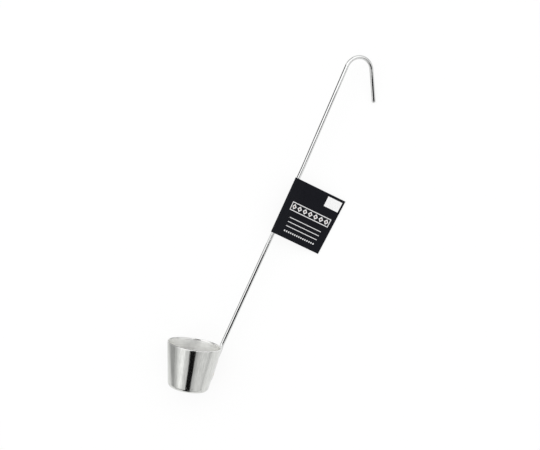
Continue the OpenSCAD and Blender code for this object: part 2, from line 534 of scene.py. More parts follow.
@dataclass(frozen=True)
class CupSteel(Finish):
    """Drawn and polished sheet.

    Fine lines run along the side outside, and rings round the axis on the base and inside. The lip is
    burnished, a band inside it is polished, and the rest of the inside is satin.
    """

    title = "polished_cup_steel"

    axes: Axes
    lip_share: float
    bright: Colour = (0.815, 0.822, 0.795)
    dull: Colour = (0.675, 0.681, 0.658)
    tone: Span = (0.3, 0.7)
    grain_part: float = 0.35
    satin: Colour = (0.97, 0.97, 0.95)
    satin_dull: Colour = (0.86, 0.86, 0.84)
    satin_from: Span = (0.010, 0.018)
    satin_rough: float = 0.36
    satin_swing: float = 0.1
    band: Colour = (0.79, 0.79, 0.78)
    inside_from: Span = (-0.004, 0.004)
    burnished: Colour = (0.97, 0.97, 0.96)
    lip_edge: Span = (0.0078, 0.0042)
    smooth: float = 0.08
    smoothest: float = 0.04
    line_turns: float = 60.0
    line_pitch: float = 70.0
    line_swing: float = 0.07
    line_depth: float = 0.000012
    ring_turns: float = 1.5
    ring_pitch: float = 1600.0
    streak_turns: float = 18.0
    streak_pitch: float = 180.0
    streak_depth: float = 0.000004
    wave_turns: float = 5.0
    wave_pitch: float = 25.0
    wave_depth: float = 0.00010
    smudge_scale: float = 180.0
    smudge_edge: Span = (0.45, 0.75)
    smudge_rough: float = 0.03
    scuffed: Colour = (0.46, 0.46, 0.45)
    scuff_z: Span = (0.0008, 0.0042)
    scuff_scale: float = 700.0
    scuff_edge: Span = (0.56, 0.68)
    scuff_rough: float = 0.12
    base_z: Span = (0.0024, 0.0008)

    def inputs(self, tree: Tree) -> dict[str, object]:
        """Steel whose lines and waves are noise drawn out along the side or round the axis.

        Args:
            tree: nodes of the material.

        Returns:
            The shader's inputs.
        """
        own = tree.node(
            "ShaderNodeMapping",
            {"vector_type": "TEXTURE"},
            {
                "Vector": tree.place(),
                "Location": tuple(self.axes.origin),
                "Rotation": tuple(self.axes.turned()),
            },
        )
        height = own.dot(UPWARD)
        across = own * SIDEWAYS
        spoke = across.of("NORMALIZE")
        radius = across.measure("LENGTH")
        way = tree.lay()[1] - self.lip_share
        inside = way.step(*self.inside_from)
        deep = way.step(*self.satin_from)
        lip = abs(way).step(*self.lip_edge)
        turned = inside.most(height.step(*self.base_z))

        def drawn(turns: float, pitch: float, detail: float) -> Socket:
            """Noise with so many lumps round the axis and along a metre of height."""
            return tree.noise(spoke * turns + tree.vector(0.0, 0.0, height * pitch), 1.0, detail)

        ringed = tree.vector(radius * self.ring_pitch, 0.0, height * self.ring_pitch)
        rings = tree.noise(spoke * self.ring_turns + ringed, 1.0, FINE)
        grain = turned.between(drawn(self.line_turns, self.line_pitch, FINE), rings)
        streak = turned.between(drawn(self.streak_turns, self.streak_pitch, SOFT), rings)
        waves = drawn(self.wave_turns, self.wave_pitch, BROAD)
        smudge = tree.noise(own, self.smudge_scale, FINE).step(*self.smudge_edge)
        scuff = tree.noise(own, self.scuff_scale, FINE).step(*self.scuff_edge)
        scuff = scuff * height.inside(*self.scuff_z, self.scuff_z[0]) * (1.0 - inside)

        rough = self.smooth + (grain - 0.5) * self.line_swing
        rough = rough + smudge * self.smudge_rough + scuff * self.scuff_rough
        rough = deep.between(rough, self.satin_rough + (grain - 0.5) * self.satin_swing)
        mixed = grain * self.grain_part + streak * (1.0 - self.grain_part)
        outer = mixed.step(*self.tone).blend(self.dull, self.bright)
        satin = rings.step(*self.tone).blend(self.satin_dull, self.satin)
        metal = inside.blend(outer, deep.blend(self.band, satin))
        metal = scuff.blend(metal, self.scuffed)
        normal = tree.bump(waves * (1.0 - turned), self.wave_depth)
        normal = tree.bump(streak, self.streak_depth, normal)
        normal = tree.bump(grain, self.line_depth, normal)
        return {
            "Base Color": lip.blend(metal, self.burnished),
            "Metallic": 1.0,
            "Roughness": lip.between(rough, self.smooth).most(self.smoothest),
            "Normal": normal,
        }


@dataclass(frozen=True)
class WireSteel(Finish):
    """Bright drawn wire: fine lines along it, a ring of heat colour round each weld."""

    title = "bright_wire_steel"

    length: float
    welds: tuple[Array, ...]
    bright: Colour = (0.88, 0.885, 0.88)
    dull: Colour = (0.79, 0.795, 0.79)
    tone: Span = (0.25, 0.75)
    smooth: float = 0.05
    smoothest: float = 0.03
    lines_round: float = 14.0
    lines_along: float = 6.0
    line_swing: float = 0.05
    line_depth: float = 0.000006
    mark_scale: float = 900.0
    mark_edge: Span = (0.60, 0.75)
    mark_rough: float = 0.05
    straw: Colour = (0.58, 0.47, 0.30)
    straw_part: float = 0.6
    heat_ring: Span = (0.00117, 0.0026)
    heat_soft: float = 0.00104
    heat_rough: float = 0.08

    def inputs(self, tree: Tree) -> dict[str, object]:
        """Steel whose lines are noise on a circle round the wire, drawn out along it.

        Args:
            tree: nodes of the material.

        Returns:
            The shader's inputs.
        """
        around, along = tree.lay()
        turn = around * math.tau
        drawn = along * (self.length * self.lines_along)
        ring = tree.vector(turn.of("COSINE"), turn.of("SINE"), drawn)
        lines = tree.noise(ring * self.lines_round, 1.0, FINE)
        place = tree.place()
        marks = tree.noise(place, self.mark_scale, SOFT).step(*self.mark_edge)
        reaches = [place.measure("DISTANCE", tuple(weld)) for weld in self.welds]
        heat = sum(reach.inside(*self.heat_ring, self.heat_soft) for reach in reaches)
        metal = lines.step(*self.tone).blend(self.dull, self.bright)
        rough = self.smooth + (lines - 0.5) * self.line_swing
        rough = rough + marks * self.mark_rough + heat * self.heat_rough
        return {
            "Base Color": (heat * self.straw_part).blend(metal, self.straw),
            "Metallic": 1.0,
            "Roughness": rough.most(self.smoothest),
            "Normal": tree.bump(lines, self.line_depth),
        }


@dataclass(frozen=True)
class WeldSteel(Finish):
    """Fused metal: dull, grey, with a coarse frozen grain."""

    title = "fused_weld_steel"

    light: Colour = (0.50, 0.49, 0.48)
    dark: Colour = (0.30, 0.29, 0.29)
    tone: Span = (0.3, 0.7)
    rough: float = 0.35
    rough_swing: float = 0.2
    grain: float = 4000.0
    depth: float = 0.00003

    def inputs(self, tree: Tree) -> dict[str, object]:
        """Grey steel mottled by noise.

        Args:
            tree: nodes of the material.

        Returns:
            The shader's inputs.
        """
        mottle = tree.noise(tree.place(), self.grain, FINE)
        return {
            "Base Color": mottle.step(*self.tone).blend(self.dark, self.light),
            "Metallic": 1.0,
            "Roughness": self.rough + mottle * self.rough_swing,
            "Normal": tree.bump(mottle, self.depth),
        }


@dataclass(frozen=True)
class PrintPlan:
    """Plain printed marks on the card's face: measures from the wire and from the lower edge."""

    soft: float = 0.00006
    patch_x: Span = (0.0264, 0.0380)
    patch_z: Span = (0.0337, 0.0415)
    band_x: Span = (0.0035, 0.0365)
    band_z: Span = (0.0205, 0.0270)
    band_line: float = 0.0006
    lozenges: int = 7
    lozenge_tall: float = 0.0042
    lozenge_wide: float = 0.0036
    lozenge_edge: Span = (1.06, 0.96)
    core_edge: Span = (0.50, 0.40)
    rules_x: Span = (0.0065, 0.0335)
    rules_z: tuple[float, ...] = (0.0155, 0.0122, 0.0089)
    rule: float = 0.0005
    dots_x: Span = (0.0065, 0.0332)
    dots_z: Span = (0.0046, 0.0057)
    dot_pitch: float = 0.0018
    dot_edge: Span = (0.60, 0.55)


@dataclass(frozen=True)
class PrintedCard(Finish):
    """Black printed card with a low sheen, pale plain marks and rubbed edges.

    Length is the card's length along the wire, reach the way over the face from the middle of the fold
    to the free edge, and fold_run the part of it that the fold takes up.
    """

    title = "black_printed_card"

    length: float
    reach: float
    fold_run: float
    plan: PrintPlan = PrintPlan()
    black: Colour = (0.0058, 0.0061, 0.0095)
    grey_black: Colour = (0.0085, 0.0089, 0.0128)
    cloud_scale: float = 160.0
    rubbed: Colour = (0.03, 0.03, 0.034)
    wear_part: float = 0.7
    wear_scale: float = 1300.0
    wear_edge: Span = (0.45, 0.70)
    edge_wear: Span = (0.0005, 0.0)
    fold_wear: Span = (0.0035, 0.0015)
    fold_part: float = 0.2
    white: Colour = (0.92, 0.92, 0.92)
    pale: Colour = (0.80, 0.80, 0.80)
    brown: Colour = (0.10, 0.045, 0.03)
    rough: float = 0.48
    rough_swing: float = 0.12
    ink_smooth: float = 0.08
    gloss_level: float = 0.10
    fibre: float = 2600.0
    fibre_part: float = 0.6
    weave: float = 700.0
    fibre_depth: float = 0.00003

    def _marks(self, x: Socket, z: Socket) -> tuple[Socket, Socket, Socket]:
        """Shares of white, pale and brown ink.

        A lozenge is one where the share of the way across plus the share of the way up from its middle
        is under one. A dot is one over the first part of each pitch.

        Args:
            x: distance from the wire on the face, negative on the back.
            z: distance from the lower edge.

        Returns:
            White ink of the patch, pale ink of the band, the rules and the dots, and brown ink of the
            lozenges' cores.
        """
        plan = self.plan

        def box(across: Span, upward: Span) -> Socket:
            """One inside a rectangle, nothing outside."""
            return x.inside(*across, plan.soft) * z.inside(*upward, plan.soft)

        inner_x = (plan.band_x[0] + plan.band_line, plan.band_x[1] - plan.band_line)
        inner_z = (plan.band_z[0] + plan.band_line, plan.band_z[1] - plan.band_line)
        inner = box(inner_x, inner_z)
        pitch = (inner_x[1] - inner_x[0]) / plan.lozenges
        cell = abs(((x - inner_x[0]) / pitch).of("FRACT") - 0.5) * pitch
        rise = abs(z - sum(plan.band_z) / 2)
        spread = cell * (2.0 / plan.lozenge_wide) + rise * (2.0 / plan.lozenge_tall)
        pale = box(plan.band_x, plan.band_z) - inner + spread.step(*plan.lozenge_edge) * inner
        for level in plan.rules_z:
            pale = pale + box(plan.rules_x, (level - plan.rule / 2, level + plan.rule / 2))
        dot = ((x - plan.dots_x[0]) / plan.dot_pitch).of("FRACT").step(*plan.dot_edge)
        pale = pale + dot * box(plan.dots_x, plan.dots_z)
        patch = box(plan.patch_x, plan.patch_z)
        return patch, pale.least(1.0), spread.step(*plan.core_edge) * inner

    def inputs(self, tree: Tree) -> dict[str, object]:
        """Card with ink by its own map, fibres as noise, and wear near fold and edges.

        Args:
            tree: nodes of the material.

        Returns:
            The shader's inputs.
        """
        girth, along = tree.lay()
        run = girth * self.length
        z = along * self.length
        place = tree.place()
        patch, pale, core = self._marks(run - self.fold_run, z)

        nearest = (self.reach - abs(run)).least(z.least(self.length - z))
        worn = nearest.step(*self.edge_wear) + abs(run).step(*self.fold_wear) * self.fold_part
        wear = worn * tree.noise(place, self.wear_scale, FINE).step(*self.wear_edge)

        card = tree.noise(place, self.cloud_scale, SOFT).blend(self.black, self.grey_black)
        card = (wear * self.wear_part).blend(card, self.rubbed)
        printed = core.blend(pale.blend(card, self.pale), self.brown)
        fibre = tree.noise(place, self.fibre, FINEST)
        weave = tree.noise(place, self.weave, SOFT)
        height = fibre * self.fibre_part + weave * (1.0 - self.fibre_part)
        rough = self.rough + (fibre - 0.5) * self.rough_swing
        return {
            "Base Color": patch.blend(printed, self.white),
            "Roughness": rough - patch.most(pale) * self.ink_smooth,
            "Specular IOR Level": self.gloss_level,
            "Normal": tree.bump(height, self.fibre_depth),
        }


@dataclass(frozen=True)
class AdhesiveFilm(Finish):
    """Thin pale adhesive with small bubbles."""

    title = "adhesive_film"

    clear: Colour = (0.62, 0.60, 0.53)
    cloudy: Colour = (0.74, 0.72, 0.66)
    cloud_scale: float = 400.0
    cloud_edge: Span = (0.35, 0.65)
    rough: float = 0.4
    rough_swing: float = 0.3
    bubble: float = 1500.0
    bubble_depth: float = 0.00002

    def inputs(self, tree: Tree) -> dict[str, object]:
        """Pale film clouded by noise and dotted by cells.

        Args:
            tree: nodes of the material.

        Returns:
            The shader's inputs.
        """
        place = tree.place()
        spread = {"Vector": place, "Scale": self.bubble}
        cells = tree.node("ShaderNodeTexVoronoi", None, spread, "Distance")
        cloud = tree.noise(place, self.cloud_scale, SOFT)
        return {
            "Base Color": cloud.step(*self.cloud_edge).blend(self.clear, self.cloudy),
            "Roughness": self.rough + cells * self.rough_swing,
            "Normal": tree.bump(cells, self.bubble_depth),
        }


@dataclass(frozen=True)
class DarkCloth(Finish):
    """Dull black cloth of the studio."""

    title = "dark_cloth"

    black: Colour = (0.006, 0.006, 0.006)
    worn: Colour = (0.012, 0.012, 0.012)
    weave: float = 800.0
    rough: float = 0.9

    def inputs(self, tree: Tree) -> dict[str, object]:
        """Black mottled by noise."""
        weave = tree.noise(tree.place(), self.weave, SOFT)
        return {"Base Color": weave.blend(self.black, self.worn), "Roughness": self.rough}


# Sub-assemblies


@dataclass(frozen=True)
class Cup:
    """Cone sided cup, drawn from sheet."""

    axes: Axes
    mouth_r: float = 20.0 * MM
    base_r: float = 14.6 * MM
    height: float = 33.5 * MM
    wall: float = 0.8 * MM
    corner_r: float = 3.4 * MM
    axis_hole: float = 0.2 * MM
    around: int = 256
    base_steps: int = 14
    corner_steps: int = 20
    side_steps: int = 30
    lip_steps: int = 16
    inner_corner_steps: int = 18

    @property
    def flare(self) -> float:
        """Half angle of the cone."""
        return math.atan((self.mouth_r - self.base_r) / self.height)

    def _profile(self) -> tuple[Array, float]:
        """Section of the sheet from the middle of the base round the lip to the middle inside.

        Straight lines along base and side, quarter-like arcs at the corner, a half circle at the lip.

        Returns:
            Points of radius and height, and the share of the way at the middle of the lip.
        """
        tilt = self.flare
        lip_r = self.wall / 2
        corner_x = self.base_r + self.corner_r * math.tan(tilt) - self.corner_r / math.cos(tilt)
        reach = (self.height - lip_r * (1 + math.sin(tilt))) / math.cos(tilt)
        up = np.array([math.sin(tilt), math.cos(tilt)])
        out = np.array([math.cos(tilt), -math.sin(tilt)])
        lip = np.array([self.base_r, 0.0]) + reach * up - lip_r * out
        corner = np.array([corner_x, self.corner_r])
        inner_r = self.corner_r - self.wall
        down = -math.pi / 2
        outer = [
            straight((self.axis_hole, 0.0), (corner_x, 0.0), self.base_steps),
            arc(corner, self.corner_r, down, -tilt, self.corner_steps),
            straight(corner + self.corner_r * out, lip + lip_r * out, self.side_steps),
        ]
        rim = arc(lip, lip_r, -tilt, math.pi - tilt, self.lip_steps)
        inner = [
            straight(lip - lip_r * out, corner + inner_r * out, self.side_steps),
            arc(corner, inner_r, -tilt, down, self.inner_corner_steps),
            straight((corner_x, self.wall), (self.axis_hole, self.wall), self.base_steps),
            np.array([[self.axis_hole, self.wall]]),
        ]
        section = np.vstack([*outer, rim, *inner])
        way = run_length(section)
        middle = sum(len(part) for part in outer) + len(rim) // 2
        return section, way[middle] / way[-1]

    def build(self) -> bpy.types.Object:
        """Turns the section round the axis: radius times cosine and sine of the turn, and the height.

        Returns:
            The cup.
        """
        section, lip_share = self._profile()
        turn = np.arange(self.around) / self.around * math.tau
        spokes = np.stack([np.cos(turn), np.sin(turn)], axis=1)
        flat = section[:, None, :1] * spokes[None]
        tall = np.broadcast_to(section[:, None, 1:], (*flat.shape[:2], 1))
        rings = self.axes.put(np.concatenate([flat, tall], axis=2))
        way = run_length(section)
        piece = tube_object("ladle_cup", rings, way / way[-1])
        dress(piece, CupSteel(self.axes, lip_share).material())
        enter(piece, Body.LADLE, "cup")
        return piece


@dataclass(frozen=True)
class Handle:
    """One wire: flat foot on the cup's side, bend at the rim, long run with a slight bend, open hook."""

    cup: Cup
    wire_r: float = 1.5 * MM
    kick: float = math.radians(8)
    kick_r: float = 22.0 * MM
    rod_len: float = 223.0 * MM
    bow: float = math.radians(1.4)
    bow_r: float = 300.0 * MM
    bow_start: float = 140.1 * MM
    foot_neck: float = 3.0 * MM
    press_len: float = 6.0 * MM
    foot_len: float = 18.0 * MM
    foot_w: float = 4.6 * MM
    foot_t: float = 1.5 * MM
    weld_gap: float = 0.1 * MM
    weld_pitch: float = 9.0 * MM
    weld_lift: float = 1.0 * MM
    dimple_r: float = 5.0 * MM
    dimple_depth: float = 0.2 * MM
    hook_r: float = 10.6 * MM
    hook_turn: float = math.radians(149)
    hook_leg: float = 25.2 * MM
    around: int = 72
    foot_tip_from: float = 0.02
    foot_steps: tuple[int, int, int] = (40, 150, 50)
    run_steps: tuple[int, ...] = (8, 16, 60, 12, 30, 96, 16)
    tip_to: float = 0.985
    tip_steps: int = 20

    @property
    def side(self) -> Axes:
        """Axes on the cup's side.

        Returns:
            Axes from the rim, x out of the side and z along it.
        """
        cup, tilt = self.cup.axes, self.cup.flare
        rim = cup.put(np.array([self.cup.mouth_r, 0.0, self.cup.height]))
        out = math.cos(tilt) * cup.x - math.sin(tilt) * cup.z
        return Axes(rim, out, cup.y, math.sin(tilt) * cup.x + math.cos(tilt) * cup.z)

    @property
    def weld_places(self) -> Span:
        """Distances of the two welds below the rim."""
        middle = self.foot_neck + self.press_len + self.foot_len / 2 - self.weld_lift
        return middle - self.weld_pitch / 2, middle + self.weld_pitch / 2

    def _foot(self) -> tuple[Array, Array, Array]:
        """Pressed end of the wire from its lower tip to where it is round.

        The half width follows a circle at the lower tip, is even along the foot, and goes over to the
        wire's radius with the half thickness along the pressed length.

        Returns:
            Places out of and along the side, headings, and half widths beside half thicknesses.
        """
        half_w = self.foot_w / 2
        foot_end = self.foot_neck + self.press_len + self.foot_len
        tip_count, flat_count, press_count = self.foot_steps
        tip = np.linspace(self.foot_tip_from, 1.0, tip_count) * math.pi / 2
        along_tip = half_w * (1 - np.cos(tip))
        along_flat = np.linspace(half_w, self.foot_len, flat_count)[1:]
        along_press = np.linspace(self.foot_len, self.foot_len + self.press_len, press_count)[1:]
        along = np.concatenate([along_tip, along_flat, along_press])
        share = np.clip((along - self.foot_len) / self.press_len, 0.0, 1.0)
        even = np.full(len(along_flat) + len(along_press), half_w)
        wide = np.concatenate([half_w * np.sin(tip), even]) + (self.wire_r - half_w) * share
        thick = self.foot_t / 2 + (self.wire_r - self.foot_t / 2) * share
        place = np.stack([self.weld_gap + thick, along - foot_end], axis=1)
        return place, np.zeros(len(along)), np.stack([wide, thick], axis=1)

    def _run(self) -> tuple[Array, Array, Array]:
        """Round part of the wire from the neck to the tip of the hook.

        Straight lines and arcs joined end to end. On the round tip the way is the wire's radius times
        the sine of an angle and the radius shrinks by its cosine.

        Returns:
            Places out of and along the side, headings, and half widths beside half thicknesses.
        """
        knee_up = (self.wire_r + self.weld_gap) * math.tan(self.cup.flare)
        kick_tan = self.kick_r * math.tan(self.kick / 2)
        bow_tan = self.bow_r * math.tan(self.bow / 2)
        stretches = (
            (self.foot_neck + knee_up - kick_tan, 0.0),
            (self.kick_r * self.kick, self.kick),
            (self.bow_start - kick_tan, 0.0),
            (self.bow_r * self.bow, -self.bow),
            (self.rod_len - self.bow_start - 2 * bow_tan, 0.0),
            (self.hook_r * self.hook_turn, self.hook_turn),
            (self.hook_leg - self.wire_r, 0.0),
        )
        place = np.array([[self.weld_gap + self.wire_r, -self.foot_neck]])
        heading = np.zeros(1)
        for (length, turn), count in zip(stretches, self.run_steps):
            share = np.arange(1, count + 1) / count
            angle = heading[-1] + turn * share
            middle = heading[-1] + turn * share / 2
            chord = length * share * np.sinc(turn * share / math.tau)
            ahead = np.stack([np.sin(middle), np.cos(middle)], axis=1) * chord[:, None]
            place = np.vstack([place, place[-1] + ahead])
            heading = np.concatenate([heading, angle])
        tip = np.linspace(0.0, self.tip_to, self.tip_steps)[1:] * math.pi / 2
        ahead = np.array([math.sin(heading[-1]), math.cos(heading[-1])])
        place = np.vstack([place, place[-1] + self.wire_r * np.sin(tip)[:, None] * ahead])
        half = np.concatenate([np.full(len(heading), self.wire_r), self.wire_r * np.cos(tip)])
        heading = np.concatenate([heading, np.full(len(tip), heading[-1])])
        return place[1:], heading[1:], np.stack([half, half], axis=1)[1:]

    def build(self) -> bpy.types.Object:
        """Carries the wire's section along its line.

        Across the section the half width times a sine gives the place sideways. Where that is in the
        round edge, the half thickness falls off as on a circle. Each weld leaves a shallow round mark:
        the depth of a ball that dips into the foot's outer face.

        Returns:
            The wire.
        """
        place, heading, half = (np.concatenate(pair) for pair in zip(self._foot(), self._run()))
        turn = (np.arange(self.around) + 0.5) / self.around * math.tau
        wide, thick = half[:, :1], half[:, 1:]
        sideways = wide * np.sin(turn)
        over = np.clip((np.abs(sideways) - (wide - thick)) / thick, 0.0, 1.0)
        out = np.sign(np.cos(turn)) * thick * np.sqrt(1.0 - over**2)
        for below in self.weld_places:
            near = np.hypot(sideways, place[:, 1:] + below)
            ball = np.sqrt(np.clip(self.dimple_r**2 - near**2, 0.0, None))
            dip = np.clip(ball - (self.dimple_r - self.dimple_depth), 0.0, None)
            out = out - np.where(out > 0, dip, 0.0)
        normal = np.stack([np.cos(heading), -np.sin(heading)], axis=1)
        flat = place[:, None, :] + out[..., None] * normal[:, None, :]
        rings = self.side.put(np.stack([flat[..., 0], sideways, flat[..., 1]], axis=2))
        way = run_length(place)
        piece = tube_object("ladle_wire", rings, way / way[-1])
        welds = tuple(self._weld_mark(below) for below in self.weld_places)
        dress(piece, WireSteel(float(way[-1]), welds).material())
        enter(piece, Body.LADLE, "handle")
        return piece

    def _weld_mark(self, below: float) -> Array:
        """Middle of a weld's mark on the foot's outer face."""
        return self.side.put(np.array([self.weld_gap + self.foot_t, 0.0, -below]))


@dataclass(frozen=True)
class HangTag:
    """Card folded round the wire and stuck together behind it."""

    axes: Axes
    wire_r: float
    length: float = 43.5 * MM
    width: float = 39.6 * MM
    skew: float = math.radians(3.4)
    slant: float = math.radians(1.4)
    card_t: float = 0.35 * MM
    film_t: float = 0.1 * MM
    fold_room: float = 0.08 * MM
    fold_join: float = 6.5 * MM
    crease_soft: float = 0.5 * MM
    crease_run: float = 2.5 * MM
    rows: int = 60
    bend_steps: int = 36
    crease_steps: int = 60
    flat_steps: int = 30

    def _half_section(self) -> tuple[Array, Array]:
        """Outer side of one half of the fold, from the middle of the fold towards the free edge.

        An arc runs round the wire to the point where a straight line to the crease touches it. That
        line goes over to the flat half by a soft corner: the height is the slope times the softness
        times the logarithm of one plus the exponential of the distance to the crease over the softness.

        Returns:
            Points across and off the card's middle plane, and for each the share of the way to the
            free edge along the flat part.
        """
        bore = self.wire_r + self.fold_room
        outer = bore + self.card_t
        half = self.film_t / 2 + self.card_t
        reach = math.hypot(self.fold_join, self.film_t / 2)
        tilt = math.asin(bore / reach) - math.atan2(self.film_t / 2, self.fold_join)
        crease = self.fold_join + self.card_t * math.tan(tilt / 2)
        bend = arc((0.0, 0.0), outer, math.pi, math.pi / 2 - tilt, self.bend_steps)
        start = outer * math.sin(tilt)
        end = crease + self.crease_run
        run = np.concatenate([np.linspace(start, end, self.crease_steps), np.full(self.flat_steps, end)])
        slope = (outer * math.cos(tilt) - half) / (crease - start)
        lean = np.exp((crease - run) / self.crease_soft)
        rise = half + slope * self.crease_soft * np.log1p(lean)
        folded = np.zeros(self.bend_steps + self.crease_steps)
        share = np.arange(1, self.flat_steps + 1) / self.flat_steps
        return np.vstack([bend, np.stack([run, rise], axis=1)]), np.concatenate([folded, share])

    def build(self) -> bpy.types.Object:
        """Carries the folded section along the wire, with the flat parts drawn out to the slanting edge.

        The inner side lies one thickness behind the outer one, along the section's normal. The free
        edge gains its slant times the height over the card's middle, and the ends drop by theirs.

        Returns:
            The card.
        """
        half, share = self._half_section()
        skew, slant = math.tan(self.skew), math.tan(self.slant)
        far = (self.width + skew * np.array([-1.0, 1.0]) * self.length / 2) / (1 + skew * slant)
        level = np.linspace(0.0, 1.0, self.rows)
        edge = far[0] + (far[1] - far[0]) * level
        drawn = half + np.outer(share, (self.width - half[-1, 0], 0.0))
        steps = np.gradient(drawn, axis=0)
        tangent = steps / np.linalg.norm(steps, axis=1, keepdims=True)
        tangent[0] = (0.0, 1.0)
        behind = half + self.card_t * np.stack([tangent[:, 1], -tangent[:, 0]], axis=1)
        skins = [self._skin(points, share, edge, level) for points in (half, behind)]
        girth = run_length(drawn)
        lay_u = np.concatenate([girth[::-1], -girth[1:]]) / self.length
        lay = np.stack(np.meshgrid(lay_u, level), axis=-1)
        piece = sheet_object("tag_black_card", *skins, lay)
        reach = float(girth[-1])
        dress(piece, PrintedCard(self.length, reach, reach - self.width).material())
        enter(piece, Body.TAG, "tag_card")
        return piece

    def _skin(self, half: Array, share: Array, edge: Array, level: Array) -> Array:
        """One side of the whole card.

        Args:
            half: section of one half from the middle of the fold.
            share: share of the way along the flat part for each of its points.
            edge: distance of the free edge from the wire for each row.
            level: share of the way along the wire for each row.

        Returns:
            Rows by points by three: the face's half from the free edge to the fold, then the back's.
        """
        run = half[:, 0] + share * (edge[:, None] - half[-1, 0])
        run = np.concatenate([run[:, ::-1], run[:, 1:]], axis=1)
        off = np.concatenate([-half[::-1, 1], half[1:, 1]])
        off = np.broadcast_to(off, run.shape)
        along = (level[:, None] - 0.5) * self.length - run * math.tan(self.slant)
        return self.axes.put(np.stack([run, off, along], axis=2))


@dataclass(frozen=True)
class Layout:
    """Axes of the sub-assemblies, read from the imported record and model."""

    record: Mapping[str, object]
    nodes: Mapping[str, bpy.types.Object]

    @property
    def _base(self) -> tuple[Array, Array]:
        """Middle of the cup's base and the direction from it to the mouth."""
        place, axis = place_and_axis(self.record["mounts"], "cup_base")
        return place, -axis

    @property
    def _wire(self) -> tuple[Array, Array]:
        """Point of the straight wire at the tag's middle, and the wire's direction off the cup."""
        place, turn = place_and_axis(self.record["behaviour"]["joints"], "tag_turn")
        return place, turn * np.sign((place - self._base[0]) @ turn)

    @property
    def cup(self) -> Axes:
        """Axes of the cup.

        Returns:
            Axes from the middle of the base, z to the mouth and x towards the wire.
        """
        base, axis = self._base
        across = unit(np.cross(axis, self._wire[1]))
        return Axes(base, np.cross(across, axis), across, axis)

    @property
    def tag(self) -> Axes:
        """Axes of the tag: the mean of the film's corners shows which way it lies.

        Returns:
            Axes from the wire at the tag's middle, z along the wire and x to the free edge.
        """
        middle, along = self._wire
        film = self.nodes["tag_film"].data
        corners = np.zeros(len(film.vertices) * 3, np.float32)
        film.vertices.foreach_get("co", corners)
        corners = np.unique(corners.reshape(-1, 3).round(MERGE_DIGITS), axis=0).astype(float)
        reach = corners.mean(axis=0) - middle
        free = unit(reach - (reach @ along) * along)
        return Axes(middle, free, np.cross(along, free), along)


# Studio


@dataclass(frozen=True)
class View:
    """Camera straight above the table, turned as in the photograph.

    Beside and above say how far the model's origin lies right of and above the picture's middle.
    """

    beside: float = 1.25 * MM
    above: float = 1.71 * MM
    turn: float = math.radians(80.82)
    height: float = 1.373
    pixels_per_metre: float = 1359.5

    @property
    def right(self) -> Array:
        """Direction on the table that points to the right of the picture."""
        return np.array([math.cos(self.turn), -math.sin(self.turn), 0.0])

    @property
    def up(self) -> Array:
        """Direction on the table that points to the top of the picture."""
        return np.array([math.sin(self.turn), math.cos(self.turn), 0.0])

    def on_table(self, right: float, up: float, height: float) -> Array:
        """Point at distances to the right of and above the picture's middle, over the table."""
        flat = (right - self.beside) * self.right + (up - self.above) * self.up
        return flat + height * np.array(UPWARD)

    def build(self) -> bpy.types.Object:
        """Makes the camera; its focal length in pixels is the scale on the table times its height.

        Returns:
            The camera.
        """
        data = bpy.data.cameras.new("camera")
        data.sensor_width = SENSOR_WIDTH
        data.lens = SENSOR_WIDTH * self.pixels_per_metre * self.height / IMAGE_WIDTH
        camera = add_object("camera", data)
        camera.location = self.on_table(0.0, 0.0, self.height)
        camera.rotation_euler = (0.0, 0.0, -self.turn)
        bpy.context.scene.camera = camera
        return camera


@dataclass(frozen=True)
class Panel:
    """A flat four cornered stage piece, given by its middle and its two half sides."""

    name: str
    middle: Array
    half_a: Array
    half_b: Array

    def build(self) -> bpy.types.Object:
        """Middle plus or minus each half side.

        Returns:
            The panel.
        """
        signs = np.array([[-1, -1], [1, -1], [1, 1], [-1, 1]])
        corners = self.middle + signs @ np.stack([self.half_a, self.half_b])
        mesh = bpy.data.meshes.new(self.name)
        mesh.from_pydata(corners.tolist(), [], [(0, 1, 2, 3)])
        piece = add_object(self.name, mesh)
        return piece


@dataclass(frozen=True)
class Wall:
    """A broad soft light on one side: its level at the height of the table and further up."""

    low: float
    high: float
    rise: float

    def level(self, height: Socket) -> Socket:
        """Level by the height of a direction: smooth from low at the table to high at the rise."""
        return height.step(0.0, self.rise).between(self.low, self.high)


@dataclass(frozen=True)
class Doorway:
    """A soft edged part of the walls, by its limits to the right, to the top and up."""

    level: float
    right: Span
    up: Span
    high: Span
    soft: float = 0.06

    def share(self, right: Socket, up: Socket, high: Socket) -> Socket:
        """One in directions that lie in the doorway, nothing outside."""
        flat = right.inside(*self.right, self.soft) * up.inside(*self.up, self.soft)
        return flat * high.inside(*self.high, self.soft)


@dataclass(frozen=True)
class Cloth:
    """A dark cloth that only reflections show, with places to the right, to the top and up.

    Near and far are the middles of two opposite edges, and side is half of such an edge.
    """

    name: str
    near: tuple[float, float, float]
    far: tuple[float, float, float]
    side: Span

    def panel(self, view: View) -> Panel:
        """The cloth in the model's frame.

        Args:
            view: the camera whose picture the places are given by.

        Returns:
            The cloth as a panel.
        """
        near, far = view.on_table(*self.near), view.on_table(*self.far)
        side = self.side[0] * view.right + self.side[1] * view.up
        return Panel(self.name, (near + far) / 2, (far - near) / 2, side)


